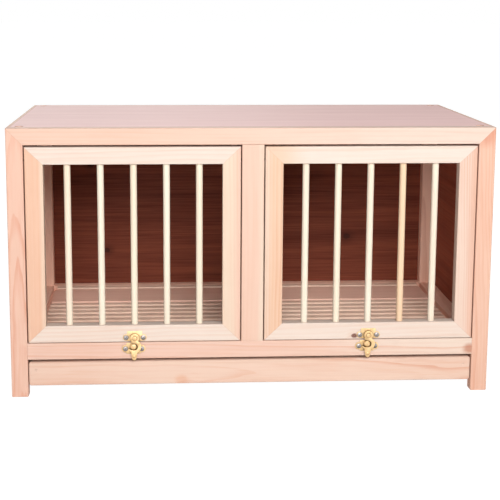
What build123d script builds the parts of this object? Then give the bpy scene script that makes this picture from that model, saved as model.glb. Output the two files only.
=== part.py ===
from build123d import *
from math import atan2, cos, degrees, radians, sin, sqrt
import os

# A pigeon aviary: a pine cabinet with two barred doors that swing up on pins,
# a slatted floor and a droppings drawer below it. Millimetres, +Z up. The origin
# is on the ground, midway between the feet. X runs along the front from left
# to right and Y runs from the front to the back.

# The cabinet as a whole
overall_width = 800.0
overall_depth = 400.0
overall_height = 450.0
edge_round = 1.5              # eased edges of the pine that shows from the front
edge_chamfer = 1.0            # eased edges of the pine inside and behind
joint_clearance = 0.3         # between pieces that pass or turn by each other

# Front frame
frame_thickness = 20.0
post_width = 27.5
top_rail_height = 27.5
bottom_rail_height = 28.0
centre_post_width = 36.5
foot_chamfer = 1.0

# Rear frame and the rails between the two frames
rear_frame_thickness = 20.0
rear_post_width = 27.5
rear_top_rail_height = 27.5
side_rail_width = 27.5
side_rail_height = 20.0

# Plywood
side_panel_thickness = 5.5
back_panel_thickness = 5.5
roof_panel_thickness = 5.5
divider_thickness = 5.5
divider_groove_depth = 5.0
divider_fit = 0.25            # on each side of the divider in its grooves

# Doors
door_thickness = 19.5
door_stile_width = 29.7
door_rail_height = 28.5
door_side_gap = 1.8
door_top_gap = 3.2
door_bottom_gap = 1.0
door_corner_clearance = 1.15  # between the turning top corner and the rail over it
bar_count = 5
bar_diameter = 11.0
bar_edge_gap = 32.55          # from a stile to the first bar
bar_socket_depth = 10.0
bar_fit = 0.05
bar_end_gap = 0.2

# Pivot pins of the doors
pin_diameter = 4.0
pin_reach = 18.0              # how far a pin goes into a stile
pin_running_fit = 0.06
pin_driven_fit = 0.03
pin_end_gap = 0.5
pin_head_diameter = 9.0
pin_head_thickness = 1.5
pin_head_recess = 0.3
pin_head_fit = 0.3

# Blocks behind the doors that they close against
stop_height = 40.0
stop_width = 22.0
stop_thickness = 12.0
stop_overlap = 3.0            # how far a block reaches behind the stile
stop_rise = 12.0              # above the lower edge of the door

# Drawer
leg_clearance = 18.8
drawer_front_height = 40.0
drawer_top_gap = 5.2
drawer_end_gap = 1.2
drawer_recess = 2.0
drawer_front_corner = 4.0
drawer_front_rim = 1.5
drawer_stop_gap = 0.5
tray_side_thickness = 12.0
tray_side_height = 29.0
tray_back_gap = 2.0
tray_bottom_thickness = 4.0
tray_groove_depth = 5.0
tray_groove_rise = 5.0
tray_fit = 0.2
runner_thickness = 8.0
runner_ledge = 18.0           # how far a runner reaches under the tray
runner_lift = 1.0             # above the lower edge of the drawer front
guide_height = 17.0
guide_clearance = 1.5

# Slatted floor
slat_width = 17.1
slat_gap = 8.0
slat_thickness = 8.0
slat_end_gap = 8.0
wide_board_slat_count = 4     # the wide board takes the room of this many slats
rear_slat_gap = 0.3
bearer_width = 20.0
bearer_height = 12.0

# Roof screws
roof_screw_counterbore = 14.0
roof_screw_counterbore_depth = 2.5
roof_screw_head = 11.5
roof_screw_head_thickness = 1.6
roof_screw_head_slope = 25.0   # degrees, from the axis to the side of the head
roof_screw_shank = 4.0
roof_screw_length = 19.0
roof_screw_setback = 8.5      # behind the front edge of the roof panel
screw_fit = 0.05

# Nails through the drawer front into the sides of the tray
nail_head = 4.6
nail_head_height = 0.5
nail_shank = 2.2
nail_length = 38.0
nail_rise = 27.0              # above the lower edge of the drawer front

# Latches: a plate with its pivot on the door, a swinging hook and a keeper below
latch_pivot_rise = 7.2        # above the lower edge of the door
plate_thickness = 1.0
plate_corner = 1.5
latch_plate_width = 25.0
latch_plate_above = 11.5      # from the pivot up to the top edge of the plate
latch_plate_below = 5.5
latch_ear_height = 11.0
latch_screw_spacing = 28.5
latch_screw_rise = 0.5
pivot_boss_diameter = 9.0
pivot_boss_height = 2.15
pivot_shaft_diameter = 4.0
pivot_head_diameter = 7.5
pivot_head_height = 1.55
pivot_head_rim = 0.8
hook_thickness = 1.6
hook_play = 0.15              # on each flat side of the hook
hook_head_diameter = 15.0
hook_body_diameter = 22.0
hook_body_drop = 14.4         # from the pivot down to the centre of the body
hook_tab_shift = 1.0          # the thumb tab hangs this far left of the pivot
hook_tab_root_diameter = 11.0
hook_tab_tip_diameter = 7.4
hook_tab_root_drop = 24.0
hook_tab_reach = 37.6         # from the pivot down to the tip of the tab
hook_pad_diameter = 5.0
hook_pad_height = 1.2
hook_pad_rim = 0.7
hook_pad_rise = 6.8           # from the tip of the tab up to the middle of the pad
keeper_plate_width = 24.0
keeper_plate_height = 18.5
keeper_plate_shift = 2.0      # the keeper's centre lies this far left of the pivot
keeper_edge_margin = 0.6      # below the top edge of the rail
keeper_ear_height = 12.5
keeper_screw_spacing = 27.0
keeper_screw_drop = 10.0      # below the top edge of the plate
stud_drop = 14.6              # from the pivot down to the middle of the stud
stud_diameter = 10.5
stud_height = 5.4
stud_rim = 1.6
stud_collar_diameter = 11.4
stud_collar_height = 1.5
stud_clearance = 0.6
stud_end_clearance = 1.2      # from the stud to the closed end of the throat
latch_screw_head = 8.2
latch_screw_head_height = 1.8
latch_screw_head_slope = 35.0  # degrees, from the axis to the side of the head
latch_screw_shank = 2.6
latch_screw_length = 13.0

# Levels and faces that follow from the sizes above
front_face = -overall_depth / 2
back_face = overall_depth / 2
front_frame_rear = front_face + frame_thickness
rear_frame_rear = back_face - back_panel_thickness
rear_frame_front = rear_frame_rear - rear_frame_thickness
side_inner = overall_width / 2 - side_panel_thickness
post_inner = overall_width / 2 - post_width
rear_post_inner = side_inner - rear_post_width
side_rail_inner = side_inner - side_rail_width
drawer_front_top = leg_clearance + drawer_front_height
bottom_rail_bottom = drawer_front_top + drawer_top_gap
floor_level = bottom_rail_bottom + bottom_rail_height
top_rail_bottom = overall_height - top_rail_height
roof_underside = overall_height - roof_panel_thickness

door_outer = post_inner - door_side_gap
door_inner = centre_post_width / 2 + door_side_gap
door_bottom = floor_level + door_bottom_gap
door_top = top_rail_bottom - door_top_gap
door_centre = (door_outer + door_inner) / 2
door_mid_depth = front_face + door_thickness / 2
door_corner_room = door_top_gap - door_corner_clearance
pivot_drop = ((door_thickness / 2) ** 2 - door_corner_room**2) / (2 * door_corner_room)
pivot_level = door_top - pivot_drop
latch_level = door_bottom + latch_pivot_rise

os.makedirs("parts", exist_ok=True)


def save(piece, name):
    """Label a finished piece and write it to its own file."""
    piece.label = name
    export_step(piece, f"parts/{name}.step")


def mirrored(span, side):
    """The span across X on the right side (side 1), or its mirror on the left (side -1)."""
    return tuple(sorted((span[0] * side, span[1] * side)))


def length_of(run, x, y, z, rounded=False):
    """A straight length along run, filling the given spans, with its four long edges eased."""
    planes = {"x": Plane.YZ.offset(x[0]), "y": Plane.ZX.offset(y[0]), "z": Plane.XY.offset(z[0])}
    spans = {"x": (y, z, x), "y": (z, x, y), "z": (x, y, z)}
    across, up, along = spans[run]
    with BuildPart() as piece:
        with BuildSketch(planes[run]) as section:
            with Locations(((across[0] + across[1]) / 2, (up[0] + up[1]) / 2)):
                Rectangle(across[1] - across[0], up[1] - up[0])
            if rounded:
                fillet(section.vertices(), edge_round)
            else:
                chamfer(section.vertices(), edge_chamfer)
        extrude(amount=along[1] - along[0])
    return piece.part


def sheet(x, y, z):
    """A square-edged sheet of plywood filling the given spans."""
    with BuildPart() as piece:
        with BuildSketch(Plane.XY.offset(z[0])):
            with Locations(((x[0] + x[1]) / 2, (y[0] + y[1]) / 2)):
                Rectangle(x[1] - x[0], y[1] - y[0])
        extrude(amount=z[1] - z[0])
    return piece.part


def mitred_length(corners, thickness, grain):
    """A frame member with mitred ends: its outline in the front face, and eased long edges."""
    with BuildPart() as piece:
        with BuildSketch(Plane.XZ.offset(-front_face)):
            with BuildLine():
                Polyline(*corners, close=True)
            make_face()
        extrude(amount=-thickness)
        fillet(piece.edges().filter_by(grain), edge_round)
    return piece.part


# Front frame: corner posts that run down as legs, mitred to the top rail
for side, word in ((-1, "left"), (1, "right")):
    with BuildPart() as front_post:
        add(
            mitred_length(
                (
                    (side * overall_width / 2, 0),
                    (side * post_inner, 0),
                    (side * post_inner, top_rail_bottom),
                    (side * overall_width / 2, overall_height),
                ),
                frame_thickness,
                Axis.Z,
            )
        )
        chamfer(front_post.faces().sort_by(Axis.Z)[0].edges(), foot_chamfer)
        # bore for the pivot pin, with a recess for its head in the outer side
        with BuildSketch(Plane.YZ.offset(side * overall_width / 2)):
            with Locations((door_mid_depth, pivot_level)):
                Circle(pin_diameter / 2 + pin_driven_fit)
        extrude(amount=-side * post_width, mode=Mode.SUBTRACT)
        with BuildSketch(Plane.YZ.offset(side * overall_width / 2)):
            with Locations((door_mid_depth, pivot_level)):
                Circle(pin_head_diameter / 2 + pin_head_fit)
        extrude(amount=-side * (pin_head_thickness + pin_head_recess), mode=Mode.SUBTRACT)
    save(front_post.part, f"front_{word}_post")

with BuildPart() as front_top_rail:
    add(
        mitred_length(
            (
                (-post_inner, top_rail_bottom),
                (post_inner, top_rail_bottom),
                (overall_width / 2, overall_height),
                (-overall_width / 2, overall_height),
            ),
            frame_thickness,
            Axis.X,
        )
    )
save(front_top_rail.part, "front_top_rail")

with BuildPart() as front_bottom_rail:
    add(
        length_of(
            "x",
            (-post_inner, post_inner),
            (front_face, front_frame_rear),
            (bottom_rail_bottom, floor_level),
            rounded=True,
        )
    )
    # pilot holes for the keeper screws of both latches
    with BuildSketch(Plane.XZ.offset(-front_face)):
        for side in (-1, 1):
            for end in (-1, 1):
                with Locations(
                    (
                        side * door_centre - keeper_plate_shift + end * keeper_screw_spacing / 2,
                        floor_level - keeper_edge_margin - keeper_screw_drop,
                    )
                ):
                    Circle(latch_screw_shank / 2 + screw_fit)
    extrude(amount=-(latch_screw_length + joint_clearance), mode=Mode.SUBTRACT)
save(front_bottom_rail.part, "front_bottom_rail")

with BuildPart() as centre_post:
    add(
        length_of(
            "z",
            (-centre_post_width / 2, centre_post_width / 2),
            (front_face, front_frame_rear),
            (floor_level, top_rail_bottom),
            rounded=True,
        )
    )
    # groove down the rear face for the divider
    with BuildSketch(Plane.XY.offset(floor_level)):
        with Locations((0, front_frame_rear - divider_groove_depth / 2)):
            Rectangle(divider_thickness + 2 * divider_fit, divider_groove_depth)
    extrude(amount=top_rail_bottom - floor_level, mode=Mode.SUBTRACT)
    # bore for the pin that both doors turn on
    with BuildSketch(Plane.YZ.offset(-centre_post_width / 2)):
        with Locations((door_mid_depth, pivot_level)):
            Circle(pin_diameter / 2 + pin_driven_fit)
    extrude(amount=centre_post_width, mode=Mode.SUBTRACT)
save(centre_post.part, "centre_post")

# Rear frame: two legs, two rails and a stud between them
roof_screw_x = side_inner - side_rail_width / 2
roof_screw_y = (
    front_frame_rear + roof_screw_setback,
    rear_frame_front + rear_frame_thickness / 2,
)
roof_screw_seat = overall_height - roof_screw_counterbore_depth
roof_screw_hole_depth = roof_screw_length + joint_clearance

for side, word in ((-1, "left"), (1, "right")):
    with BuildPart() as rear_post:
        add(
            length_of(
                "z",
                mirrored((rear_post_inner, side_inner), side),
                (rear_frame_front, rear_frame_rear),
                (0, roof_underside),
            )
        )
        chamfer(rear_post.faces().sort_by(Axis.Z)[0].edges(), foot_chamfer)
        with Locations((side * roof_screw_x, roof_screw_y[1], roof_screw_seat)):
            Hole(roof_screw_shank / 2 + screw_fit, roof_screw_hole_depth)
    save(rear_post.part, f"rear_{word}_post")

with BuildPart() as rear_top_rail:
    add(
        length_of(
            "x",
            (-rear_post_inner, rear_post_inner),
            (rear_frame_front, rear_frame_rear),
            (roof_underside - rear_top_rail_height, roof_underside),
        )
    )
save(rear_top_rail.part, "rear_top_rail")

with BuildPart() as rear_bottom_rail:
    add(
        length_of(
            "x",
            (-rear_post_inner, rear_post_inner),
            (rear_frame_front, rear_frame_rear),
            (bottom_rail_bottom, floor_level),
        )
    )
save(rear_bottom_rail.part, "rear_bottom_rail")

with BuildPart() as rear_centre_stud:
    add(
        length_of(
            "z",
            (-rear_post_width / 2, rear_post_width / 2),
            (rear_frame_front, rear_frame_rear),
            (floor_level, roof_underside - rear_top_rail_height),
        )
    )
    with BuildSketch(Plane.XY.offset(floor_level)):
        with Locations((0, rear_frame_front + divider_groove_depth / 2)):
            Rectangle(divider_thickness + 2 * divider_fit, divider_groove_depth)
    extrude(amount=overall_height, mode=Mode.SUBTRACT)
save(rear_centre_stud.part, "rear_centre_stud")

# Rails from the front frame to the rear frame, along both sides
between_frames = (front_frame_rear, rear_frame_front)
side_rail_underside = roof_underside - side_rail_height
for side, word in ((-1, "left"), (1, "right")):
    with BuildPart() as side_top_rail:
        add(
            length_of(
                "y",
                mirrored((side_rail_inner, side_inner), side),
                between_frames,
                (side_rail_underside, roof_underside),
            )
        )
        with Locations((side * roof_screw_x, roof_screw_y[0], roof_screw_seat)):
            Hole(roof_screw_shank / 2 + screw_fit, roof_screw_hole_depth)
    save(side_top_rail.part, f"{word}_top_side_rail")

    with BuildPart() as side_bottom_rail:
        add(
            length_of(
                "y",
                mirrored((side_rail_inner, side_inner), side),
                between_frames,
                (floor_level - side_rail_height, floor_level),
            )
        )
    save(side_bottom_rail.part, f"{word}_bottom_side_rail")

with BuildPart() as centre_roof_rail:
    add(
        length_of(
            "y",
            (-side_rail_width / 2, side_rail_width / 2),
            between_frames,
            (side_rail_underside, roof_underside),
        )
    )
    # groove along the underside for the divider
    with BuildSketch(Plane.XZ.offset(-front_frame_rear)):
        with Locations((0, side_rail_underside + divider_groove_depth / 2)):
            Rectangle(divider_thickness + 2 * divider_fit, divider_groove_depth)
    extrude(amount=-(rear_frame_front - front_frame_rear), mode=Mode.SUBTRACT)
save(centre_roof_rail.part, "centre_roof_rail")

# Plywood skins: sides behind the front posts, the back over both, the roof let in flush
for side, word in ((-1, "left"), (1, "right")):
    with BuildPart() as side_panel:
        add(
            sheet(
                mirrored((side_inner, overall_width / 2), side),
                (front_frame_rear, rear_frame_rear),
                (leg_clearance, overall_height),
            )
        )
    save(side_panel.part, f"{word}_side_panel")

with BuildPart() as back_panel:
    add(
        sheet(
            (-overall_width / 2, overall_width / 2),
            (rear_frame_rear, back_face),
            (leg_clearance, overall_height),
        )
    )
save(back_panel.part, "back_panel")

with BuildPart() as roof_panel:
    add(
        sheet(
            (-side_inner, side_inner),
            (front_frame_rear, rear_frame_rear),
            (roof_underside, overall_height),
        )
    )
    screw_places = [(side * roof_screw_x, y, overall_height) for side in (-1, 1) for y in roof_screw_y]
    with Locations(*screw_places):
        CounterBoreHole(
            roof_screw_shank / 2 + screw_fit,
            roof_screw_counterbore / 2,
            roof_screw_counterbore_depth,
            roof_panel_thickness,
        )
save(roof_panel.part, "roof_panel")

rear_rail_underside = roof_underside - rear_top_rail_height
tongue = divider_groove_depth - divider_fit
with BuildPart() as divider_panel:
    with BuildSketch(Plane.YZ.offset(-divider_thickness / 2)):
        with BuildLine():
            # a tongue stands into the groove of each post and of the roof rail
            Polyline(
                (front_frame_rear - tongue, floor_level + divider_fit),
                (rear_frame_front + tongue, floor_level + divider_fit),
                (rear_frame_front + tongue, rear_rail_underside - divider_fit),
                (rear_frame_front - divider_fit, rear_rail_underside - divider_fit),
                (rear_frame_front - divider_fit, side_rail_underside + tongue),
                (front_frame_rear + divider_fit, side_rail_underside + tongue),
                (front_frame_rear + divider_fit, top_rail_bottom - divider_fit),
                (front_frame_rear - tongue, top_rail_bottom - divider_fit),
                close=True,
            )
        make_face()
    extrude(amount=divider_thickness)
save(divider_panel.part, "divider_panel")

# Roof screws: dark pan heads sunk in the roof panel
with BuildPart() as roof_screws:
    with BuildSketch(Plane.XY.offset(roof_screw_seat)):
        with Locations(*[(x, y) for x, y, z in screw_places]):
            Circle(roof_screw_head / 2)
    extrude(amount=roof_screw_head_thickness, taper=roof_screw_head_slope)
    with BuildSketch(Plane.XY.offset(roof_screw_seat)):
        with Locations(*[(x, y) for x, y, z in screw_places]):
            Circle(roof_screw_shank / 2)
    extrude(amount=-roof_screw_length)
save(roof_screws.part, "roof_screws")

# Pivot pins: one driven through the centre post, one through each corner post
with BuildPart() as centre_pivot_pin:
    with BuildSketch(Plane.YZ.offset(-(door_inner + pin_reach))):
        with Locations((door_mid_depth, pivot_level)):
            Circle(pin_diameter / 2)
    extrude(amount=2 * (door_inner + pin_reach))
    chamfer(centre_pivot_pin.edges().filter_by(GeomType.CIRCLE), pin_diameter / 8)
save(centre_pivot_pin.part, "centre_pivot_pin")

with BuildPart() as outer_pivot_pins:
    for side in (-1, 1):
        head_seat = side * (overall_width / 2 - pin_head_recess - pin_head_thickness)
        with BuildSketch(Plane.YZ.offset(head_seat)):
            with Locations((door_mid_depth, pivot_level)):
                Circle(pin_head_diameter / 2)
        extrude(amount=side * pin_head_thickness)
        with BuildSketch(Plane.YZ.offset(head_seat)):
            with Locations((door_mid_depth, pivot_level)):
                Circle(pin_diameter / 2)
        extrude(amount=-side * (abs(head_seat) - door_outer + pin_reach))
save(outer_pivot_pins.part, "outer_pivot_pins")

# Stop blocks on the rear faces of the posts
stop_outer_x = (door_outer - stop_overlap, door_outer - stop_overlap + stop_width)
stop_inner_x = (divider_thickness / 2 + divider_fit, door_inner + stop_overlap)
with BuildPart() as door_stops:
    for side in (-1, 1):
        for span in (stop_outer_x, stop_inner_x):
            add(
                length_of(
                    "z",
                    mirrored(span, side),
                    (front_frame_rear, front_frame_rear + stop_thickness),
                    (door_bottom + stop_rise, door_bottom + stop_rise + stop_height),
                )
            )
save(door_stops.part, "door_stops")

# Slatted floor: bearers along the side rails, then boards from the back to the front
floor_underside = floor_level - slat_thickness
slat_end = side_rail_inner - slat_end_gap
slat_pitch = slat_width + slat_gap
wide_board_width = wide_board_slat_count * slat_pitch - slat_gap
rear_slat_front = rear_frame_front - rear_slat_gap - slat_width
wide_board_front = rear_slat_front - slat_gap - wide_board_width

with BuildPart() as floor_bearers:
    for side in (-1, 1):
        add(
            length_of(
                "y",
                mirrored((side_rail_inner - bearer_width, side_rail_inner), side),
                between_frames,
                (floor_underside - bearer_height, floor_underside),
            )
        )
save(floor_bearers.part, "floor_bearers")


def floor_board(front, width):
    """One board of the floor, with its front edge at the given depth."""
    return length_of(
        "x", (-slat_end, slat_end), (front, front + width), (floor_underside, floor_level)
    )


with BuildPart() as rear_floor_board:
    add(floor_board(wide_board_front, wide_board_width))
save(rear_floor_board.part, "rear_floor_board")

slat_count = int((wide_board_front - front_frame_rear) // slat_pitch)
slat_fronts = [wide_board_front - (place + 1) * slat_pitch for place in range(slat_count)]
with BuildPart() as floor_slats:
    for front in [rear_slat_front] + slat_fronts:
        add(floor_board(front, slat_width))
save(floor_slats.part, "floor_slats")

# Doors: mitred frames with round bars let into both rails
opening_half = (door_outer - door_inner) / 2 - door_stile_width
bar_pitch = (2 * opening_half - 2 * bar_edge_gap - bar_diameter) / (bar_count - 1)
bar_bottom = door_bottom + door_rail_height - bar_socket_depth
bar_top = door_top - door_rail_height + bar_socket_depth


def latch_plane(side, height=0.0):
    """The front face at a latch: local X to the right, local Y up, Z out of the wood."""
    origin = (side * door_centre, front_face, latch_level)
    return Plane(origin=origin, x_dir=(1, 0, 0), z_dir=(0, -1, 0)).offset(height)


for side, word in ((-1, "left"), (1, "right")):
    outer, inner = side * door_outer, side * door_inner
    outer_in = side * (door_outer - door_stile_width)
    inner_in = side * (door_inner + door_stile_width)
    low, high = door_bottom + door_rail_height, door_top - door_rail_height
    stiles = (
        ("outer", outer, outer_in, -side),
        ("inner", inner, inner_in, side),
    )
    for name, edge, inside, inward in stiles:
        with BuildPart() as stile:
            corners = ((edge, door_bottom), (inside, low), (inside, high), (edge, door_top))
            add(mitred_length(corners, door_thickness, Axis.Z))
            # blind bore that turns on the pivot pin
            with BuildSketch(Plane.YZ.offset(edge)):
                with Locations((door_mid_depth, pivot_level)):
                    Circle(pin_diameter / 2 + pin_running_fit)
            extrude(amount=inward * (pin_reach + pin_end_gap), mode=Mode.SUBTRACT)
        save(stile.part, f"{word}_door_{name}_stile")

    with BuildPart() as door_top_rail:
        corners = ((outer, door_top), (outer_in, high), (inner_in, high), (inner, door_top))
        add(mitred_length(corners, door_thickness, Axis.X))
        with BuildSketch(Plane.XY.offset(high)):
            with Locations((side * door_centre, door_mid_depth)):
                with GridLocations(bar_pitch, bar_pitch, bar_count, 1):
                    Circle(bar_diameter / 2 + bar_fit)
        extrude(amount=bar_socket_depth + bar_end_gap, mode=Mode.SUBTRACT)
    save(door_top_rail.part, f"{word}_door_top_rail")

    with BuildPart() as door_bottom_rail:
        corners = ((outer, door_bottom), (outer_in, low), (inner_in, low), (inner, door_bottom))
        add(mitred_length(corners, door_thickness, Axis.X))
        with BuildSketch(Plane.XY.offset(low)):
            with Locations((side * door_centre, door_mid_depth)):
                with GridLocations(bar_pitch, bar_pitch, bar_count, 1):
                    Circle(bar_diameter / 2 + bar_fit)
        extrude(amount=-(bar_socket_depth + bar_end_gap), mode=Mode.SUBTRACT)
        # pilot holes for the two screws of the latch plate
        with BuildSketch(latch_plane(side)):
            with Locations((0, latch_screw_rise)):
                with GridLocations(latch_screw_spacing, latch_screw_spacing, 2, 1):
                    Circle(latch_screw_shank / 2 + screw_fit)
        extrude(amount=-(latch_screw_length + joint_clearance), mode=Mode.SUBTRACT)
    save(door_bottom_rail.part, f"{word}_door_bottom_rail")

    with BuildPart() as bars:
        with BuildSketch(Plane.XY.offset(bar_bottom)):
            with Locations((side * door_centre, door_mid_depth)):
                with GridLocations(bar_pitch, bar_pitch, bar_count, 1):
                    Circle(bar_diameter / 2)
        extrude(amount=bar_top - bar_bottom)
    save(bars.part, f"{word}_door_bars")


def latch_screws(plane, places):
    """Raised-head screws with their heads on a plane, at places given in it."""
    with BuildPart() as screws:
        with BuildSketch(plane):
            with Locations(*places):
                Circle(latch_screw_head / 2)
        extrude(amount=latch_screw_head_height, taper=latch_screw_head_slope)
        with BuildSketch(plane):
            with Locations(*places):
                Circle(latch_screw_shank / 2)
        extrude(amount=-latch_screw_length)
    return screws.part


hook_back = plate_thickness + pivot_boss_height + hook_play
keeper_top = floor_level - keeper_edge_margin - latch_level
keeper_centre = keeper_top - keeper_plate_height / 2
latch_screw_places = [(end * latch_screw_spacing / 2, latch_screw_rise) for end in (-1, 1)]
keeper_screw_places = [
    (end * keeper_screw_spacing / 2 - keeper_plate_shift, keeper_top - keeper_screw_drop)
    for end in (-1, 1)
]

# The throat of the hook is the path of the stud about the pivot, open to the left
stud_radius = sqrt(stud_drop**2 + keeper_plate_shift**2)
stud_angle = degrees(atan2(keeper_plate_shift, stud_drop))
throat_half = stud_diameter / 2 + stud_clearance
throat_end_angle = stud_angle - degrees(stud_end_clearance / stud_radius)
throat_mouth_angle = 88.0


def below_pivot(radius, angle):
    """The point at a radius from the pivot, turned to the left from straight down."""
    return (-radius * sin(radians(angle)), -radius * cos(radians(angle)))


for side, word in ((-1, "left"), (1, "right")):
    # plate on the door, with two ears for its screws and the riveted pivot
    with BuildPart() as latch_plate:
        with BuildSketch(latch_plane(side)):
            with Locations((0, (latch_plate_above - latch_plate_below) / 2)):
                RectangleRounded(
                    latch_plate_width, latch_plate_above + latch_plate_below, plate_corner
                )
            with Locations((0, latch_screw_rise)):
                SlotCenterToCenter(latch_screw_spacing, latch_ear_height)
            with Locations(*latch_screw_places):
                Circle(latch_screw_shank / 2 + screw_fit, mode=Mode.SUBTRACT)
        extrude(amount=plate_thickness)
        with BuildSketch(latch_plane(side, plate_thickness)):
            Circle(pivot_boss_diameter / 2)
        extrude(amount=pivot_boss_height)
        with BuildSketch(latch_plane(side, plate_thickness + pivot_boss_height)):
            Circle(pivot_shaft_diameter / 2)
        extrude(amount=hook_thickness + 2 * hook_play)
        with BuildSketch(latch_plane(side, hook_back + hook_thickness + hook_play)):
            Circle(pivot_head_diameter / 2)
        extrude(amount=pivot_head_height)
        chamfer(
            latch_plate.edges().filter_by(GeomType.CIRCLE).group_by(Axis.Y)[0],
            pivot_head_rim,
        )
    save(latch_plate.part, f"{word}_latch_plate")

    # hook: a round head on the pivot, an arm down the right of the stud, a thumb tab below
    with BuildPart() as latch_hook:
        with BuildSketch(latch_plane(side, hook_back)):
            with Locations((-hook_tab_shift, -hook_tab_root_drop)):
                Circle(hook_tab_root_diameter / 2)
            with Locations((-hook_tab_shift, -hook_tab_reach + hook_tab_tip_diameter / 2)):
                Circle(hook_tab_tip_diameter / 2)
            make_hull()
            Circle(hook_head_diameter / 2)
            with Locations((0, -hook_body_drop)):
                Circle(hook_body_diameter / 2)
            with Locations(below_pivot(stud_radius, throat_end_angle)):
                Circle(throat_half, mode=Mode.SUBTRACT)
            with BuildLine():
                inner, outer = stud_radius - throat_half, stud_radius + throat_half
                angles = [
                    throat_end_angle,
                    (throat_end_angle + throat_mouth_angle) / 2,
                    throat_mouth_angle,
                ]
                inner_points = [below_pivot(inner, angle) for angle in angles]
                outer_points = [below_pivot(outer, angle) for angle in angles]
                ThreePointArc(*inner_points)
                Line(inner_points[2], outer_points[2])
                ThreePointArc(*reversed(outer_points))
                Line(outer_points[0], inner_points[0])
            make_face(mode=Mode.SUBTRACT)
            Circle(pivot_shaft_diameter / 2 + pin_running_fit, mode=Mode.SUBTRACT)
        extrude(amount=hook_thickness)
        # domed pad for the thumb on the tab
        with BuildSketch(latch_plane(side, hook_back + hook_thickness)):
            with Locations((-hook_tab_shift, -hook_tab_reach + hook_pad_rise)):
                Circle(hook_pad_diameter / 2)
        extrude(amount=hook_pad_height)
        chamfer(
            latch_hook.edges().filter_by(GeomType.CIRCLE).group_by(Axis.Y)[0],
            hook_pad_rim,
        )
    save(latch_hook.part, f"{word}_latch_hook")

    # keeper: an eared plate on the rail, with the stud that the hook swings under
    with BuildPart() as latch_keeper:
        with BuildSketch(latch_plane(side)):
            with Locations((-keeper_plate_shift, keeper_centre)):
                RectangleRounded(keeper_plate_width, keeper_plate_height, plate_corner)
            with Locations((-keeper_plate_shift, keeper_top - keeper_screw_drop)):
                SlotCenterToCenter(keeper_screw_spacing, keeper_ear_height)
            with Locations(*keeper_screw_places):
                Circle(latch_screw_shank / 2 + screw_fit, mode=Mode.SUBTRACT)
        extrude(amount=plate_thickness)
        with BuildSketch(latch_plane(side, plate_thickness)):
            with Locations((-keeper_plate_shift, -stud_drop)):
                Circle(stud_collar_diameter / 2)
        extrude(amount=stud_collar_height)
        with BuildSketch(latch_plane(side, plate_thickness)):
            with Locations((-keeper_plate_shift, -stud_drop)):
                Circle(stud_diameter / 2)
        extrude(amount=stud_height)
        chamfer(
            latch_keeper.edges().filter_by(GeomType.CIRCLE).group_by(Axis.Y)[0],
            stud_rim,
        )
    save(latch_keeper.part, f"{word}_latch_keeper")

    plate_front = latch_plane(side, plate_thickness)
    save(latch_screws(plate_front, latch_screw_places), f"{word}_latch_plate_screws")
    save(latch_screws(plate_front, keeper_screw_places), f"{word}_latch_keeper_screws")

# Drawer: a wide front, and a narrower tray that runs on ledges under the floor
drawer_face = front_face + drawer_recess
drawer_rear_face = front_frame_rear - drawer_stop_gap
drawer_half_width = post_inner - drawer_end_gap
tray_outer = rear_post_inner - guide_clearance
tray_inner = tray_outer - tray_side_thickness
runner_bottom = leg_clearance + runner_lift
runner_top = runner_bottom + runner_thickness
tray_bottom = runner_top + joint_clearance
tray_end = rear_frame_front - tray_back_gap
tray_back_front = tray_end - tray_side_thickness
groove_level = tray_bottom + tray_groove_rise
groove_height = tray_bottom_thickness + 2 * tray_fit

nail_places = [
    (side * (tray_outer - tray_side_thickness / 2), leg_clearance + nail_rise) for side in (-1, 1)
]

with BuildPart() as drawer_front:
    with BuildSketch(Plane.XZ.offset(-drawer_face)):
        with Locations((0, (leg_clearance + drawer_front_top) / 2)):
            RectangleRounded(2 * drawer_half_width, drawer_front_height, drawer_front_corner)
    extrude(amount=-(drawer_rear_face - drawer_face))
    chamfer(drawer_front.faces().sort_by(Axis.Y)[0].edges(), drawer_front_rim)
    # groove in the rear face for the edge of the bottom
    with BuildSketch(Plane.XZ.offset(-drawer_rear_face)):
        with Locations((0, groove_level + groove_height / 2)):
            Rectangle(2 * (tray_inner + tray_groove_depth), groove_height)
    extrude(amount=tray_groove_depth, mode=Mode.SUBTRACT)
    with BuildSketch(Plane.XZ.offset(-drawer_face)):
        with Locations(*nail_places):
            Circle(nail_shank / 2 + screw_fit)
    extrude(amount=-frame_thickness, mode=Mode.SUBTRACT)
save(drawer_front.part, "drawer_front")

for side, word in ((-1, "left"), (1, "right")):
    with BuildPart() as drawer_side:
        add(
            length_of(
                "y",
                mirrored((tray_inner, tray_outer), side),
                (drawer_rear_face, tray_end),
                (tray_bottom, tray_bottom + tray_side_height),
            )
        )
        with BuildSketch(Plane.XZ.offset(-drawer_rear_face)):
            with Locations(
                (side * (tray_inner + tray_groove_depth / 2), groove_level + groove_height / 2)
            ):
                Rectangle(tray_groove_depth, groove_height)
        extrude(amount=-(tray_end - drawer_rear_face), mode=Mode.SUBTRACT)
        with BuildSketch(Plane.XZ.offset(-drawer_face)):
            with Locations(*nail_places):
                Circle(nail_shank / 2 + screw_fit)
        extrude(amount=-(nail_length + joint_clearance), mode=Mode.SUBTRACT)
    save(drawer_side.part, f"drawer_{word}_side")

with BuildPart() as drawer_back:
    add(
        length_of(
            "x",
            (-tray_inner, tray_inner),
            (tray_back_front, tray_end),
            (tray_bottom, tray_bottom + tray_side_height),
        )
    )
    with BuildSketch(Plane.XZ.offset(-tray_back_front)):
        with Locations((0, groove_level + groove_height / 2)):
            Rectangle(2 * tray_inner, groove_height)
    extrude(amount=-tray_groove_depth, mode=Mode.SUBTRACT)
save(drawer_back.part, "drawer_back")

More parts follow.
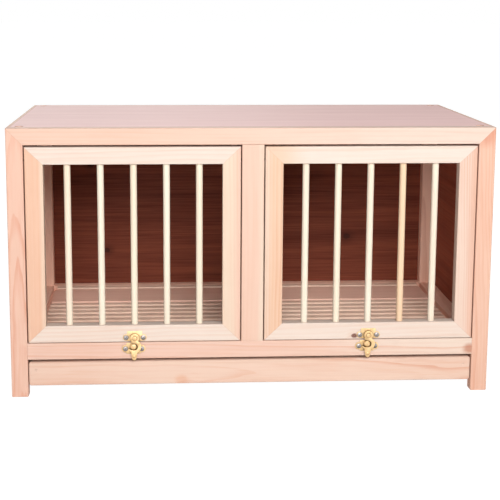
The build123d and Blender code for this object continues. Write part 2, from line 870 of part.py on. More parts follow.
with BuildPart() as drawer_bottom:
    panel_reach = tray_groove_depth - tray_fit
    add(
        sheet(
            (-tray_inner - panel_reach, tray_inner + panel_reach),
            (drawer_rear_face - panel_reach, tray_back_front + panel_reach),
            (groove_level + tray_fit, groove_level + tray_fit + tray_bottom_thickness),
        )
    )
save(drawer_bottom.part, "drawer_bottom")

with BuildPart() as drawer_nails:
    with BuildSketch(Plane.XZ.offset(-drawer_face)):
        with Locations(*nail_places):
            Circle(nail_head / 2)
    extrude(amount=nail_head_height)
    with BuildSketch(Plane.XZ.offset(-drawer_face)):
        with Locations(*nail_places):
            Circle(nail_shank / 2)
    extrude(amount=-nail_length)
save(drawer_nails.part, "drawer_nails")

# Runners under the tray and guides beside it, on both side panels
with BuildPart() as drawer_runners:
    for side in (-1, 1):
        add(
            length_of(
                "y",
                mirrored((tray_outer - runner_ledge, side_inner), side),
                between_frames,
                (runner_bottom, runner_top),
            )
        )
save(drawer_runners.part, "drawer_runners")

with BuildPart() as drawer_guides:
    for side in (-1, 1):
        add(
            length_of(
                "y",
                mirrored((rear_post_inner, side_inner), side),
                between_frames,
                (runner_top, runner_top + guide_height),
            )
        )
save(drawer_guides.part, "drawer_guides")
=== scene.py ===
import math

import bmesh
import bpy
import numpy as np
from mathutils import Euler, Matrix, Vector


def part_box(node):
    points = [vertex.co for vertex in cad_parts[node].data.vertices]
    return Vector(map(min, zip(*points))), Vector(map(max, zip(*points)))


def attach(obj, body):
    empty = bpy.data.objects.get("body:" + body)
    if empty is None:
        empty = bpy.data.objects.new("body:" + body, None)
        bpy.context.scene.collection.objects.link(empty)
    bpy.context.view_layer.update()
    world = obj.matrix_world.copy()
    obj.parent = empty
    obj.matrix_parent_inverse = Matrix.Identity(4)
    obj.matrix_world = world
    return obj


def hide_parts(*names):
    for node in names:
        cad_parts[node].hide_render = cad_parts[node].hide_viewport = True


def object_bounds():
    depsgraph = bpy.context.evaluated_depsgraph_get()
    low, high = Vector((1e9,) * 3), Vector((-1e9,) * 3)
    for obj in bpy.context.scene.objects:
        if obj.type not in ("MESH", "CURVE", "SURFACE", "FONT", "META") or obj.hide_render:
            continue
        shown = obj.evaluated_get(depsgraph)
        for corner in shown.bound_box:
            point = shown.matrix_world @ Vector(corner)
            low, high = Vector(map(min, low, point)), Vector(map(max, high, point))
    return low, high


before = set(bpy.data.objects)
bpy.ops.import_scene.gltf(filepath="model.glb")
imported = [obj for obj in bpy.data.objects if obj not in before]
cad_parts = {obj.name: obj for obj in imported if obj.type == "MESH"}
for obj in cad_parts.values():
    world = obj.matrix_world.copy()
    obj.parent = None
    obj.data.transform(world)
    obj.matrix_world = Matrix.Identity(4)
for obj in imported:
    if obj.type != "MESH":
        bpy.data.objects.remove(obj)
cabinet_low, cabinet_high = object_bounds()


# The viewpoint: a camera left of the middle, a little above the roof, that looks slightly
# down at the front. The lens is shifted down so that the posts stay nearly upright.
camera = bpy.data.objects.new("camera", bpy.data.cameras.new("camera"))
camera.data.sensor_width = 36.0
camera.data.lens = 79.575
camera.data.shift_x = 0.04
camera.data.shift_y = -0.16
camera.location = (-0.13547, -1.97765, 0.65425)
camera.rotation_euler = [math.radians(angle) for angle in (81.278, -0.222, -3.103)]
bpy.context.scene.collection.objects.link(camera)
bpy.context.scene.camera = camera
bpy.context.scene.view_settings.view_transform = "Standard"


# The studio: a white floor and white surroundings. Two soft lamps stand high in front of
# the cabinet, a weak one low in front, one over it and one behind it. The floor keeps a
# faint shadow.
def new_material(name):
    """An empty node material, with its output node."""
    material = bpy.data.materials.new(name)
    material.use_nodes = True
    material.node_tree.nodes.clear()
    output = material.node_tree.nodes.new("ShaderNodeOutputMaterial")
    return material, material.node_tree, output


def feed(tree, socket, value):
    """Gives an input its value, or a link where the value is another node's output."""
    if isinstance(value, bpy.types.NodeSocket):
        tree.links.new(value, socket)
    else:
        socket.default_value = value


def calc(tree, operation, *values, clamp=False):
    """The output of a Math node on one to three values."""
    math_node = tree.nodes.new("ShaderNodeMath")
    math_node.operation = operation
    math_node.use_clamp = clamp
    for socket, value in zip(math_node.inputs, values):
        feed(tree, socket, value)
    return math_node.outputs[0]


def seen_directly(tree):
    """1 for camera, mirror and see-through rays, and 0 for the rays that carry light."""
    path = tree.nodes.new("ShaderNodeLightPath")
    direct = calc(tree, "ADD", path.outputs["Is Camera Ray"], path.outputs["Is Glossy Ray"])
    return calc(tree, "ADD", direct, path.outputs["Is Transmission Ray"], clamp=True)


world = bpy.data.worlds.new("studio")
bpy.context.scene.world = world
world.use_nodes = True
sky = world.node_tree
sky.nodes.clear()
sky_light = sky.nodes.new("ShaderNodeBackground")
sky_light.inputs["Color"].default_value = (1.0, 0.985, 0.97, 1.0)
sky_light.inputs["Strength"].default_value = 0.08
sky_white = sky.nodes.new("ShaderNodeBackground")
sky_white.inputs["Color"].default_value = (1.0, 1.0, 1.0, 1.0)
sky_white.inputs["Strength"].default_value = 1.0
sky_mix = sky.nodes.new("ShaderNodeMixShader")
feed(sky, sky_mix.inputs[0], seen_directly(sky))
feed(sky, sky_mix.inputs[1], sky_light.outputs[0])
feed(sky, sky_mix.inputs[2], sky_white.outputs[0])
feed(sky, sky.nodes.new("ShaderNodeOutputWorld").inputs["Surface"], sky_mix.outputs[0])

floor_mesh = bpy.data.meshes.new("studio_floor")
floor_reach = 30.0
floor_signs = ((-1, -1), (1, -1), (1, 1), (-1, 1))
floor_corners = [(x * floor_reach, y * floor_reach, 0.0) for x, y in floor_signs]
floor_mesh.from_pydata(floor_corners, [], [(0, 1, 2, 3)])
studio_floor = bpy.data.objects.new("studio_floor", floor_mesh)
bpy.context.scene.collection.objects.link(studio_floor)
floor_paint, tree, output = new_material("studio_floor")
floor_diffuse = tree.nodes.new("ShaderNodeBsdfDiffuse")
floor_diffuse.inputs["Color"].default_value = (0.92, 0.91, 0.90, 1.0)
floor_glow = tree.nodes.new("ShaderNodeEmission")
floor_glow.inputs["Strength"].default_value = 1.13
floor_mix = tree.nodes.new("ShaderNodeMixShader")
feed(tree, floor_mix.inputs[0], calc(tree, "MULTIPLY", seen_directly(tree), 0.88))
feed(tree, floor_mix.inputs[1], floor_diffuse.outputs[0])
feed(tree, floor_mix.inputs[2], floor_glow.outputs[0])
feed(tree, output.inputs["Surface"], floor_mix.outputs[0])
floor_mesh.materials.append(floor_paint)

for name, place, aim, size, power in (
    ("front_lamp", (0.0, -3.0, 1.75), (0.0, 0.0, 0.22), 1.6, 81.0),
    ("right_lamp", (1.27, -2.72, 1.85), (0.0, 0.0, 0.25), 1.6, 46.0),
    ("low_lamp", (-0.9, -2.8, 0.45), (0.0, 0.0, 0.15), 1.2, 17.0),
    ("roof_lamp", (0.2, 0.3, 3.2), (0.0, 0.0, 0.45), 1.6, 9.0),
    ("rear_lamp", (-0.6, 3.2, 1.1), (0.0, 0.0, 0.25), 2.0, 50.0),
):
    lamp = bpy.data.objects.new(name, bpy.data.lights.new(name, "AREA"))
    lamp.data.size = size
    lamp.data.energy = power
    lamp.data.color = (1.0, 0.985, 0.965)
    lamp.location = place
    lamp.rotation_euler = (Vector(aim) - Vector(place)).to_track_quat("-Z", "Y").to_euler()
    bpy.context.scene.collection.objects.link(lamp)


# The front frame: planed pine posts and rails, glued and mitred at the top corners. The
# wood is bare and pinkish, with faint growth rings that show as lines and arches.
def wood_colour(red, green, blue):
    """A colour given as it looks in print, from 0 to 255, made linear for the shader."""
    channels = np.array((red, green, blue)) / 255.0
    linear = np.where(channels <= 0.04045, channels / 12.92, ((channels + 0.055) / 1.055) ** 2.4)
    return (*linear.tolist(), 1.0)


lit_share = 0.60


def lit_colour(red, green, blue):
    """A colour given as the strongly lit front shows it in print, times the share that undoes
    the lamps' strength there."""
    return (*(np.array(wood_colour(red, green, blue)[:3]) * lit_share).tolist(), 1.0)


def spread(tree, value, low, high, to_low=0.0, to_high=1.0, smooth=True):
    """A value carried from one range to another, and held at the ends."""
    ranger = tree.nodes.new("ShaderNodeMapRange")
    ranger.interpolation_type = "SMOOTHSTEP" if smooth else "LINEAR"
    labels = ("Value", "From Min", "From Max", "To Min", "To Max")
    for label, number in zip(labels, (value, low, high, to_low, to_high)):
        feed(tree, ranger.inputs[label], number)
    return ranger.outputs["Result"]


def mix_colour(tree, factor, first, second, mode="MIX"):
    """Two colours mixed by a factor."""
    mixer = tree.nodes.new("ShaderNodeMix")
    mixer.data_type = "RGBA"
    mixer.blend_type = mode
    feed(tree, mixer.inputs[0], factor)
    feed(tree, mixer.inputs[6], first)
    feed(tree, mixer.inputs[7], second)
    return mixer.outputs[2]


def stretched_noise(tree, vector, stretch, seed, detail=2.0, roughness=0.5):
    """Noise from 0 to 1 whose cells are 1/stretch metres along each axis."""
    scaler = tree.nodes.new("ShaderNodeVectorMath")
    scaler.operation = "MULTIPLY"
    feed(tree, scaler.inputs[0], vector)
    scaler.inputs[1].default_value = stretch
    noise = tree.nodes.new("ShaderNodeTexNoise")
    noise.noise_dimensions = "4D"
    feed(tree, noise.inputs["Vector"], scaler.outputs[0])
    feed(tree, noise.inputs["W"], seed)
    noise.inputs["Scale"].default_value = 1.0
    noise.inputs["Detail"].default_value = detail
    noise.inputs["Roughness"].default_value = roughness
    return noise.outputs["Fac"]


def new_group(name, inputs, outputs):
    """An empty shader group with its sockets, and the group's own input and output nodes."""
    group = bpy.data.node_groups.new(name, "ShaderNodeTree")
    for way, sockets in (("INPUT", inputs), ("OUTPUT", outputs)):
        for label, kind in sockets:
            group.interface.new_socket(label, in_out=way, socket_type="NodeSocket" + kind)
    return group, group.nodes.new("NodeGroupInput").outputs, group.nodes.new("NodeGroupOutput").inputs


def place_group(tree, group, **values):
    """A group placed in a material, with its inputs fed by name; returns its outputs."""
    placed = tree.nodes.new("ShaderNodeGroup")
    placed.node_tree = group
    for label, value in values.items():
        feed(tree, placed.inputs[label.replace("_", " ")], value)
    return placed.outputs


# Growth rings are shells about the pith: the distance from the X axis, moved a little by
# noise, is cut into rings, each of which darkens slowly and ends sharply.
pine_figure, given, made = new_group(
    "pine_figure",
    (
        ("Vector", "Vector"),
        ("Pale", "Color"),
        ("Dark", "Color"),
        ("Ring", "Float"),
        ("Contrast", "Float"),
        ("Wander", "Float"),
        ("Push", "Float"),
        ("Seed", "Float"),
    ),
    (("Color", "Color"), ("Height", "Float"), ("Roughness", "Float")),
)
tree = pine_figure
axes = tree.nodes.new("ShaderNodeSeparateXYZ")
feed(tree, axes.inputs[0], given["Vector"])
across_square = calc(tree, "MULTIPLY", axes.outputs[1], axes.outputs[1])
radius = calc(tree, "SQRT", calc(tree, "MULTIPLY_ADD", axes.outputs[2], axes.outputs[2], across_square))
slow_noise = stretched_noise(tree, given["Vector"], (3.5, 22.0, 22.0), given["Seed"], 1.0)
slow = calc(tree, "SUBTRACT", slow_noise, 0.5)
quick_noise = stretched_noise(tree, given["Vector"], (16.0, 130.0, 130.0), given["Seed"], 1.0)
quick = calc(tree, "SUBTRACT", quick_noise, 0.5)
moved = calc(tree, "MULTIPLY", calc(tree, "MULTIPLY_ADD", quick, 0.22, slow), given["Wander"])
pushed = calc(tree, "ADD", calc(tree, "ADD", radius, moved), given["Push"])
shell = calc(tree, "DIVIDE", pushed, given["Ring"])
part = calc(tree, "FRACT", shell)
rise = spread(tree, part, 0.30, 0.90)
fall = spread(tree, part, 0.92, 1.0, 1.0, 0.0)
late = calc(tree, "MULTIPLY", rise, fall)
ring_number = tree.nodes.new("ShaderNodeTexWhiteNoise")
ring_number.noise_dimensions = "1D"
feed(tree, ring_number.inputs["W"], calc(tree, "ADD", calc(tree, "FLOOR", shell), given["Seed"]))
strength = spread(tree, ring_number.outputs["Value"], 0.0, 1.0, 0.10, 1.0, smooth=False)
late = calc(tree, "MULTIPLY", late, strength)
fibre = stretched_noise(tree, given["Vector"], (40.0, 1400.0, 1400.0), given["Seed"], 3.0)
streak = stretched_noise(tree, given["Vector"], (7.0, 330.0, 330.0), given["Seed"], 2.0, 0.6)
cloud = stretched_noise(tree, given["Vector"], (4.0, 26.0, 26.0), given["Seed"], 2.0)
darkness = calc(tree, "MULTIPLY", late, given["Contrast"])
darkness = calc(tree, "MULTIPLY_ADD", calc(tree, "SUBTRACT", fibre, 0.5), 0.22, darkness)
darkness = calc(tree, "MULTIPLY_ADD", calc(tree, "SUBTRACT", streak, 0.5), 0.60, darkness)
darkness = calc(tree, "MULTIPLY_ADD", calc(tree, "SUBTRACT", cloud, 0.42), 0.80, darkness, clamp=True)
feed(tree, made["Color"], mix_colour(tree, darkness, given["Pale"], given["Dark"]))
feed(tree, made["Height"], calc(tree, "MULTIPLY_ADD", fibre, 0.6, calc(tree, "MULTIPLY", late, -0.4)))
feed(tree, made["Roughness"], spread(tree, fibre, 0.2, 0.8, 0.52, 0.68))

# A knot is a stub of a branch: dark rings about its own centre, with the growth rings
# pushed aside round it.
pine_knot, given, made = new_group(
    "pine_knot",
    (("Vector", "Vector"), ("Centre", "Vector"), ("Radius", "Float"), ("Seed", "Float")),
    (("Push", "Float"), ("Mask", "Float"), ("Halo", "Float")),
)
tree = pine_knot
offset = tree.nodes.new("ShaderNodeVectorMath")
offset.operation = "SUBTRACT"
feed(tree, offset.inputs[0], given["Vector"])
feed(tree, offset.inputs[1], given["Centre"])
squeeze = tree.nodes.new("ShaderNodeVectorMath")
squeeze.operation = "MULTIPLY"
feed(tree, squeeze.inputs[0], offset.outputs[0])
squeeze.inputs[1].default_value = (0.8, 1.0, 0.04)
distance = tree.nodes.new("ShaderNodeVectorMath")
distance.operation = "LENGTH"
feed(tree, distance.inputs[0], squeeze.outputs[0])
uneven = stretched_noise(tree, given["Vector"], (260.0, 260.0, 260.0), given["Seed"], 1.0)
relative = calc(tree, "DIVIDE", distance.outputs["Value"], given["Radius"])
relative = calc(tree, "MULTIPLY_ADD", calc(tree, "SUBTRACT", uneven, 0.5), 0.5, relative)
inside = spread(tree, relative, 0.75, 1.1, 1.0, 0.0)
knot_wave = calc(tree, "SINE", calc(tree, "MULTIPLY", relative, 16.0))
knot_rings = calc(tree, "MULTIPLY_ADD", knot_wave, 0.16, 0.84)
feed(tree, made["Mask"], calc(tree, "MULTIPLY", inside, knot_rings))
feed(tree, made["Halo"], spread(tree, relative, 0.9, 3.2, 1.0, 0.0))
near = spread(tree, relative, 0.0, 4.0, 1.0, 0.0)
feed(tree, made["Push"], calc(tree, "MULTIPLY", near, given["Radius"]))

# A glued joint shows as a hairline: a thin dark band on each side of the plane in which
# two pieces meet.
glue_line, given, made = new_group(
    "glue_line",
    (("Vector", "Vector"), ("Point", "Vector"), ("Normal", "Vector"), ("Width", "Float")),
    (("Mask", "Float"),),
)
tree = glue_line
offset = tree.nodes.new("ShaderNodeVectorMath")
offset.operation = "SUBTRACT"
feed(tree, offset.inputs[0], given["Vector"])
feed(tree, offset.inputs[1], given["Point"])
height = tree.nodes.new("ShaderNodeVectorMath")
height.operation = "DOT_PRODUCT"
feed(tree, height.inputs[0], offset.outputs[0])
feed(tree, height.inputs[1], given["Normal"])
gap = calc(tree, "DIVIDE", calc(tree, "ABSOLUTE", height.outputs["Value"]), given["Width"])
feed(tree, made["Mask"], spread(tree, gap, 0.0, 1.0, 1.0, 0.0))


glue_width, glue_strength = 0.0007, 0.22
knot_brown, glue_brown = wood_colour(88, 38, 22), wood_colour(150, 95, 70)


def bare_wood(name, grain, centre, pale, dark, ring=0.005, contrast=0.5, wander=0.010,
              pith=(0.0, 0.05), tilt=(0.0, 0.0), seed=0.0, knots=(), joints=(), stains=(), drift=()):
    """A board of bare pine. Along, across and depth are its own axes: grain names the first.

    The pith is a line off the board's centre, turned by tilt in degrees, so that rings cut
    the face as straight lines or as arches. knots are (along, across, radius) about the centre,
    and stains are (along, across, radius, strength, shade). Each of joints is (point, normal).
    Each drift is (axis, start, end, shade): the pale wood turns to that shade from start to
    end along the board (axis 0) or across it (axis 1).
    """
    material, tree, output = new_material(name)
    shader = tree.nodes.new("ShaderNodeBsdfPrincipled")
    shader.inputs["Specular IOR Level"].default_value = 0.2
    feed(tree, output.inputs["Surface"], shader.outputs[0])
    places = tree.nodes.new("ShaderNodeTexCoord").outputs["Object"]
    order = {"x": (0, 2, 1), "y": (1, 0, 2), "z": (2, 0, 1)}[grain]
    split = tree.nodes.new("ShaderNodeSeparateXYZ")
    feed(tree, split.inputs[0], places)
    board = tree.nodes.new("ShaderNodeCombineXYZ")
    for slot, axis in enumerate(order):
        feed(tree, board.inputs[slot], split.outputs[axis])
    middle = Vector([centre[axis] for axis in order])
    turn = Euler((0.0, math.radians(tilt[0]), math.radians(tilt[1])))
    mapping = tree.nodes.new("ShaderNodeMapping")
    feed(tree, mapping.inputs["Vector"], board.outputs[0])
    mapping.inputs["Rotation"].default_value = turn
    mapping.inputs["Location"].default_value = -(turn.to_matrix() @ middle) - Vector((0.0, *pith))
    board_axes = tree.nodes.new("ShaderNodeSeparateXYZ")
    feed(tree, board_axes.inputs[0], board.outputs[0])
    for axis, start, end, shade in drift:
        # a range that runs backwards is turned round, because the range node wants it rising
        rising = (start, end, 0.0, 1.0) if start < end else (end, start, 1.0, 0.0)
        place = calc(tree, "SUBTRACT", board_axes.outputs[axis], middle[axis])
        pale = mix_colour(tree, spread(tree, place, *rising), pale, shade)
    push, marks = 0.0, []
    for number, (along, across, radius) in enumerate(knots):
        knot = place_group(tree, pine_knot, Vector=board.outputs[0], Radius=radius, Seed=seed + number,
                           Centre=(middle[0] + along, middle[1] + across, middle[2]))
        push = calc(tree, "ADD", push, knot["Push"])
        marks.append(knot)
    figure = place_group(tree, pine_figure, Vector=mapping.outputs[0], Pale=pale, Dark=dark, Ring=ring,
                         Contrast=contrast, Wander=wander, Push=push, Seed=seed)
    colour = figure["Color"]
    for knot in marks:
        colour = mix_colour(tree, calc(tree, "MULTIPLY", knot["Halo"], 0.35), colour, dark)
        colour = mix_colour(tree, knot["Mask"], colour, knot_brown)
    for along, across, radius, strength, shade in stains:
        stain = place_group(tree, pine_knot, Vector=board.outputs[0], Radius=radius, Seed=seed + 7.0,
                            Centre=(middle[0] + along, middle[1] + across, middle[2]))
        colour = mix_colour(tree, calc(tree, "MULTIPLY", stain["Halo"], strength), colour, shade)
    for point, normal in joints:
        line = place_group(tree, glue_line, Vector=places, Point=point, Normal=normal, Width=glue_width)
        colour = mix_colour(tree, calc(tree, "MULTIPLY", line["Mask"], glue_strength), colour, glue_brown)
    feed(tree, shader.inputs["Base Color"], colour)
    feed(tree, shader.inputs["Roughness"], figure["Roughness"])
    bump = tree.nodes.new("ShaderNodeBump")
    bump.inputs["Strength"].default_value = 0.25
    bump.inputs["Distance"].default_value = 0.0003
    feed(tree, bump.inputs["Height"], figure["Height"])
    feed(tree, shader.inputs["Normal"], bump.outputs[0])
    return material


def dress(node, material):
    """Puts one material on a CAD node."""
    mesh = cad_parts[node].data
    mesh.materials.clear()
    mesh.materials.append(material)


def dress_wood(node, grain, **looks):
    """Gives a CAD node its own board of wood, figured about its own centre."""
    low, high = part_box(node)
    dress(node, bare_wood(node, grain, (low + high) / 2, **looks))


right_mitre = (Vector((cabinet_high.x, 0.0, cabinet_high.z)), Vector((1.0, 0.0, -1.0)).normalized())
left_mitre = (Vector((cabinet_low.x, 0.0, cabinet_high.z)), Vector((1.0, 0.0, 1.0)).normalized())
dress_wood("front_left_post", "z", pale=lit_colour(255, 211, 190), dark=lit_colour(238, 162, 132),
           ring=0.0045, contrast=0.60, wander=0.016, pith=(0.006, 0.022), tilt=(2.6, 0.6), seed=3.1,
           joints=(left_mitre,))
dress_wood("front_right_post", "z", pale=lit_colour(255, 210, 187), dark=lit_colour(236, 162, 130),
           ring=0.0036, contrast=0.45, wander=0.012, pith=(-0.030, 0.030), tilt=(1.2, 1.0), seed=8.4,
           joints=(right_mitre,), stains=((0.216, -0.002, 0.008, 0.5, lit_colour(226, 140, 108)),))
dress_wood("front_top_rail", "x", pale=lit_colour(255, 218, 198), dark=lit_colour(244, 188, 162),
           ring=0.0045, contrast=0.35, wander=0.010, pith=(0.035, 0.030), tilt=(0.4, 0.5), seed=5.7,
           joints=(left_mitre, right_mitre), drift=((0, -0.15, 0.30, lit_colour(255, 229, 214)),))
dress_wood("front_bottom_rail", "x", pale=lit_colour(255, 217, 199), dark=lit_colour(242, 180, 152),
           ring=0.0042, contrast=0.45, wander=0.012, pith=(-0.030, 0.030), tilt=(0.6, 0.3), seed=12.9,
           stains=((0.369, -0.004, 0.004, 0.7, lit_colour(206, 126, 90)),),
           drift=((0, 0.0, 0.30, lit_colour(255, 233, 217)),))
dress_wood("centre_post", "z", pale=lit_colour(255, 218, 198), dark=lit_colour(246, 192, 166),
           ring=0.005, contrast=0.30, wander=0.010, pith=(0.030, 0.040), tilt=(0.8, 0.4), seed=21.3,
           drift=((1, 0.006, 0.016, lit_colour(255, 230, 210)),))


# The frame inside and behind: posts, rails, stud, bearers, runners, guides and stops of
# the same bare pine, which carry the panels, the floor and the drawer.
# Unlike the front's, these colours are not cut by the lit share, so the pine inside is painted lighter:
# painted light where the lamps reach less.
inner_pale = wood_colour(255, 214, 192)
inner_dark = wood_colour(222, 164, 138)
for number, (node, grain) in enumerate((
    ("rear_left_post", "z"),
    ("rear_right_post", "z"),
    ("rear_centre_stud", "z"),
    ("rear_top_rail", "x"),
    ("rear_bottom_rail", "x"),
    ("left_top_side_rail", "y"),
    ("right_top_side_rail", "y"),
    ("left_bottom_side_rail", "y"),
    ("right_bottom_side_rail", "y"),
    ("centre_roof_rail", "y"),
    ("floor_bearers", "y"),
    ("drawer_runners", "y"),
    ("drawer_guides", "y"),
    ("door_stops", "z"),
)):
    dress_wood(node, grain, pale=inner_pale, dark=inner_dark, ring=0.0055, contrast=0.45, wander=0.012,
               pith=(0.015 * (-1) ** number, 0.05), tilt=(1.5, 0.5), seed=31.0 + 2.3 * number)


# Plywood: the roof and the outside of the sides have a pale pinkish face. The back, the
# divider and the inside of the sides are a red-brown veneer, and the inside of the sides is
# painted lighter than the back, as painted light from the side. Cut edges show the thin plies.
veneer_figure, given, made = new_group(
    "veneer_figure",
    (("Vector", "Vector"), ("Pale", "Color"), ("Dark", "Color"), ("Contrast", "Float"), ("Seed", "Float")),
    (("Color", "Color"), ("Height", "Float"), ("Roughness", "Float")),
)
tree = veneer_figure
bands = stretched_noise(tree, given["Vector"], (2.2, 42.0, 42.0), given["Seed"], 4.0, 0.6)
streaks = stretched_noise(tree, given["Vector"], (9.0, 420.0, 420.0), given["Seed"], 2.0)
pore_noise = stretched_noise(tree, given["Vector"], (110.0, 1500.0, 1500.0), given["Seed"], 1.0)
pores = spread(tree, pore_noise, 0.64, 0.72)
shade = calc(tree, "MULTIPLY_ADD", calc(tree, "SUBTRACT", streaks, 0.5), 0.7, bands)
shade = calc(tree, "MULTIPLY_ADD", calc(tree, "SUBTRACT", shade, 0.5), given["Contrast"], 0.45, clamp=True)
feed(tree, made["Color"], mix_colour(
    tree,
    calc(tree, "MULTIPLY", pores, 0.35),
    mix_colour(tree, shade, given["Pale"], given["Dark"]),
    given["Dark"],
))
feed(tree, made["Height"], calc(tree, "MULTIPLY_ADD", pores, -0.8, streaks))
feed(tree, made["Roughness"], spread(tree, streaks, 0.3, 0.7, 0.60, 0.74))


ply_thickness = 0.0011
ply_pale, ply_dark = wood_colour(234, 204, 188), wood_colour(196, 158, 140)
veneer_knot = wood_colour(48, 20, 14)


def plywood(name, sheet_axis, low, high, pale, dark, contrast=1.2, seed=0.0, inside=None, knots=()):
    """A sheet of plywood with its grain along X, or along Y for a sheet that faces X.

    inside, where given, is (side, pale, dark): the face on that side of the sheet has
    those colours. The plies show where the surface faces along the sheet.
    """
    material, tree, output = new_material(name)
    shader = tree.nodes.new("ShaderNodeBsdfPrincipled")
    shader.inputs["Specular IOR Level"].default_value = 0.2
    feed(tree, output.inputs["Surface"], shader.outputs[0])
    surface = tree.nodes.new("ShaderNodeTexCoord")
    split = tree.nodes.new("ShaderNodeSeparateXYZ")
    feed(tree, split.inputs[0], surface.outputs["Object"])
    board = tree.nodes.new("ShaderNodeCombineXYZ")
    order = {"x": (1, 2, 0), "y": (0, 2, 1), "z": (0, 1, 2)}[sheet_axis]
    for slot, axis in enumerate(order):
        feed(tree, board.inputs[slot], split.outputs[axis])
    figure = place_group(tree, veneer_figure, Vector=board.outputs[0], Pale=pale, Dark=dark,
                         Contrast=contrast, Seed=seed)
    colour = figure["Color"]
    normal = tree.nodes.new("ShaderNodeSeparateXYZ")
    feed(tree, normal.inputs[0], surface.outputs["Normal"])
    facing = normal.outputs["XYZ".index(sheet_axis.upper())]
    if inside:
        side, inner_face, inner_streak = inside
        inner = place_group(tree, veneer_figure, Vector=board.outputs[0], Pale=inner_face,
                            Dark=inner_streak, Contrast=contrast, Seed=seed + 4.0)
        inward = spread(tree, calc(tree, "MULTIPLY", facing, side), 0.4, 0.6)
        colour = mix_colour(tree, inward, colour, inner["Color"])
    middle = (low + high) / 2
    for number, (along, across, radius) in enumerate(knots):
        knot = place_group(tree, pine_knot, Vector=board.outputs[0], Radius=radius, Seed=seed + number,
                           Centre=(middle[order[0]] + along, middle[order[1]] + across, middle[order[2]]))
        halo = calc(tree, "MULTIPLY", knot["Halo"], 0.35)
        darker = calc(tree, "MULTIPLY_ADD", knot["Mask"], 0.5, halo, clamp=True)
        colour = mix_colour(tree, darker, colour, veneer_knot)
    through = split.outputs["XYZ".index(sheet_axis.upper())]
    base = low["XYZ".index(sheet_axis.upper())]
    ply = calc(tree, "DIVIDE", calc(tree, "SUBTRACT", through, base), ply_thickness)
    dark_ply = spread(tree, calc(tree, "SINE", calc(tree, "MULTIPLY", ply, math.pi)), -0.2, 0.2)
    edge_colour = mix_colour(tree, dark_ply, ply_pale, ply_dark)
    on_edge = spread(tree, calc(tree, "ABSOLUTE", facing), 0.4, 0.6, 1.0, 0.0)
    feed(tree, shader.inputs["Base Color"], mix_colour(tree, on_edge, colour, edge_colour))
    feed(tree, shader.inputs["Roughness"], figure["Roughness"])
    bump = tree.nodes.new("ShaderNodeBump")
    bump.inputs["Strength"].default_value = 0.2
    bump.inputs["Distance"].default_value = 0.0002
    feed(tree, bump.inputs["Height"], figure["Height"])
    feed(tree, shader.inputs["Normal"], bump.outputs[0])
    return material


roof_pale, roof_dark = wood_colour(242, 210, 207), wood_colour(220, 184, 182)
brown_pale, brown_dark = wood_colour(139, 73, 52), wood_colour(90, 40, 27)
side_pale, side_dark = wood_colour(230, 198, 182), wood_colour(212, 172, 156)
# the inside of the sides is painted lighter than the back, as painted light from the side
painted_light_lining_pale, painted_light_lining_dark = wood_colour(186, 104, 78), wood_colour(128, 65, 47)
back_knots = ((-0.292, 0.10, 0.006), (-0.262, -0.075, 0.005), (0.22, -0.05, 0.006))
dress("roof_panel", plywood("roof_panel", "z", *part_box("roof_panel"), roof_pale, roof_dark, 1.1, 2.0))
dress("back_panel", plywood("back_panel", "y", *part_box("back_panel"), brown_pale, brown_dark, 1.9, 5.0,
                            knots=back_knots))
for name, side in (("left_side_panel", 1.0), ("right_side_panel", -1.0)):
    dress(name, plywood(name, "x", *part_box(name), side_pale, side_dark, 1.2, 9.0 + side,
                        inside=(side, painted_light_lining_pale, painted_light_lining_dark)))
dress("divider_panel", plywood("divider_panel", "x", *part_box("divider_panel"), brown_pale, brown_dark,
                               1.2, 14.0))


# The slatted floor: thin planed pine slats laid from side to side with gaps for the
# droppings, and one wide board at the back, nailed to the bearers.
def vary_boards(node, grain, step_axis, first, pitch, tones, **looks):
    """Wood for a node of several equal pieces, each tinted by its place along one axis."""
    low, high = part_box(node)
    material = bare_wood(node, grain, (low + high) / 2, **looks)
    tree = material.node_tree
    shader = next(item for item in tree.nodes if item.type == "BSDF_PRINCIPLED")
    figured = shader.inputs["Base Color"].links[0].from_socket
    split = tree.nodes.new("ShaderNodeSeparateXYZ")
    feed(tree, split.inputs[0], tree.nodes.new("ShaderNodeTexCoord").outputs["Object"])
    count = len(tones)
    place = calc(tree, "DIVIDE", calc(tree, "SUBTRACT", split.outputs[step_axis], first), pitch * count)
    ramp = tree.nodes.new("ShaderNodeValToRGB")
    ramp.color_ramp.interpolation = "CONSTANT"
    while len(ramp.color_ramp.elements) < count:
        ramp.color_ramp.elements.new(0.5)
    for number, tone in enumerate(tones):
        ramp.color_ramp.elements[number].position = number / count
        ramp.color_ramp.elements[number].color = tone
    feed(tree, ramp.inputs[0], place)
    feed(tree, shader.inputs["Base Color"], mix_colour(tree, 1.0, figured, ramp.outputs[0], "MULTIPLY"))
    dress(node, material)


slats_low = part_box("floor_slats")[0]
slat_pitch, half_gap, slat_spaces = 0.0251, 0.004, 15
tones = np.random.default_rng(4)
slat_tint = np.array((1.0, 0.985, 0.97))
slat_tones = [(*(slat_tint * tones.uniform(0.86, 1.0)), 1.0) for space in range(slat_spaces)]
# the floor's colours are not cut by the lit share, so its pine is painted lighter than the front's, as
# painted light inside the cabinet
vary_boards("floor_slats", "x", 1, slats_low.y - half_gap, slat_pitch, slat_tones,
            pale=wood_colour(255, 226, 206), dark=wood_colour(226, 178, 154), ring=0.004, contrast=0.45,
            wander=0.012, pith=(0.03, 0.04), tilt=(1.2, 0.8), seed=51.0)
dress_wood("rear_floor_board", "x", pale=wood_colour(255, 214, 194), dark=wood_colour(234, 180, 156),
           ring=0.008, contrast=0.3, wander=0.010, pith=(0.03, 0.06), tilt=(0.8, 0.6), seed=55.0)


